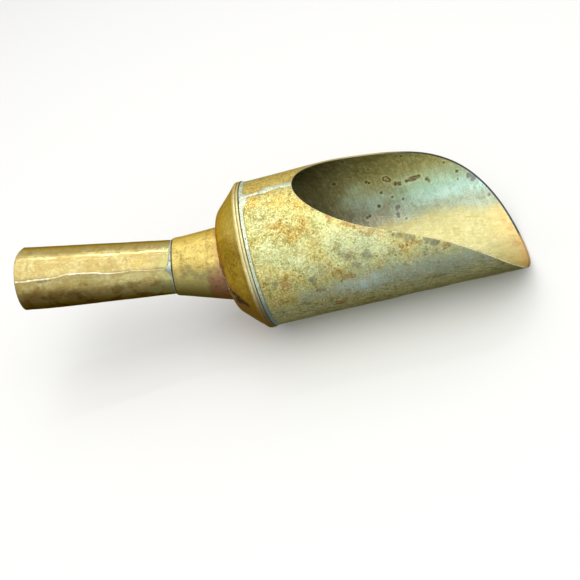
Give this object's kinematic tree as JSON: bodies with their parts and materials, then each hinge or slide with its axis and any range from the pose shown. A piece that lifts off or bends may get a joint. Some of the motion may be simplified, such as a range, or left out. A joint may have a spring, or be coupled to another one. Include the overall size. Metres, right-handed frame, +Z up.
{
  "type": "feed scoop",
  "caption": "Hand scoop in soldered brass sheet: a rolled tube body with a slanted open mouth, a dished back, a flared collar and an open tube handle.",
  "frame": {"origin": "on the plane the scoop lies on, under the middle of its length", "axes": "+X out of the mouth along the body, +Z up, towards the seam along the top of the body"},
  "size_m": [0.302, 0.0898, 0.0898],
  "materials": {
    "brass_body": "aged, pitted pale gold with olive, rust and blue-grey stains, satin",
    "brass_back": "aged, dark ochre gold, satin",
    "brass_collar": "aged gold with a copper heat stain, satin",
    "brass_handle": "planished, aged gold, satin",
    "solder": "dull tin and lead solder, uneven"
  },
  "bodies": {
    "root": {"scoop_body": "brass_body", "body_seam_solder": "solder", "back_dish": "brass_back", "skirt_solder": "solder", "collar": "brass_collar", "collar_base_solder": "solder", "collar_joint_solder": "solder", "handle_tube": "brass_handle", "handle_seam_solder": "solder"}
  },
  "joints": []
}
